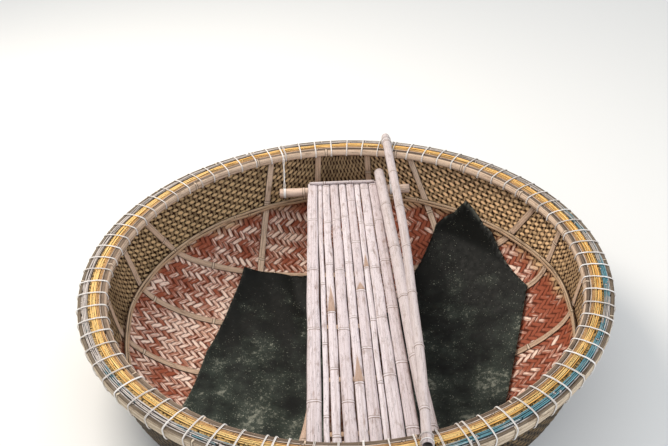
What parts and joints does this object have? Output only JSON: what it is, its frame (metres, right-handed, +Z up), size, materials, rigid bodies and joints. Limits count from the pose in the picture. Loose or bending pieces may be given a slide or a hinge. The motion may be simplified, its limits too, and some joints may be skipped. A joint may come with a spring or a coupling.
{
  "type": "coracle",
  "caption": "Round woven basket boat with bent ribs, a cord-bound laminated rim, a slatted bench hung across it and a rail pole over the rim.",
  "frame": {"origin": "middle of the waterline, on the bowl's axis", "axes": "+Z up, +Y along the bench away from the rail pole's hollow end, +X to the side where the rail pole lies"},
  "size_m": [2.0104, 2.0098, 0.623],
  "materials": {
    "tarred_weave": "woven bamboo splits under a thin, worn coat of tar",
    "band_bamboo": "split bamboo, weathered",
    "band_bamboo_inner": "split bamboo, weathered, pinkish",
    "splint_grey": "weathered split bamboo",
    "splint_blue": "split bamboo with faded blue paint",
    "splint_yellow": "split bamboo with faded yellow paint",
    "splint_tan": "weathered split bamboo",
    "cord": "white plastic cord",
    "hoop_bamboo": "split bamboo, weathered grey",
    "rib_bamboo": "bent split bamboo, weathered",
    "slat_bamboo": "split bamboo bleached by the sun",
    "pole_bamboo": "round bamboo bleached by the sun",
    "rubber_mat": "dusty black rubber sheet"
  },
  "bodies": {
    "root": {"bench_bearer_far": "pole_bamboo", "bench_bearer_near": "pole_bamboo", "bench_hangers": "cord", "bench_low_pole": "pole_bamboo", "bench_side_pole": "pole_bamboo", "bench_slat_1": "slat_bamboo", "bench_slat_2": "slat_bamboo", "bench_slat_3": "slat_bamboo", "bench_slat_4": "slat_bamboo", "bench_slat_5": "slat_bamboo", "bench_slat_6": "slat_bamboo", "bench_slat_7": "slat_bamboo", "bench_slat_8": "slat_bamboo", "bench_slat_9": "slat_bamboo", "bench_stick_far": "pole_bamboo", "bench_stick_near": "pole_bamboo", "floor_mat_left": "rubber_mat", "floor_mat_right": "rubber_mat", "hoop_lower": "hoop_bamboo", "hoop_upper": "hoop_bamboo", "hull_basket": "tarred_weave", "rail_pole": "pole_bamboo", "rail_ties": "cord", "rib_cross_1": "rib_bamboo", "rib_cross_2": "rib_bamboo", "rib_cross_3": "rib_bamboo", "rib_cross_4": "rib_bamboo", "rib_cross_5": "rib_bamboo", "rib_long_1": "rib_bamboo", "rib_long_2": "rib_bamboo", "rib_long_3": "rib_bamboo", "rib_long_4": "rib_bamboo", "rim_inner_band": "band_bamboo_inner", "rim_lashings": "cord", "rim_outer_band": "band_bamboo", "rim_splint_1": "splint_grey", "rim_splint_2": "splint_grey", "rim_splint_3": "splint_blue", "rim_splint_4": "splint_grey", "rim_splint_5": "splint_yellow", "rim_splint_6": "splint_yellow", "rim_splint_7": "splint_tan", "rim_splint_8": "splint_grey"}
  },
  "joints": []
}
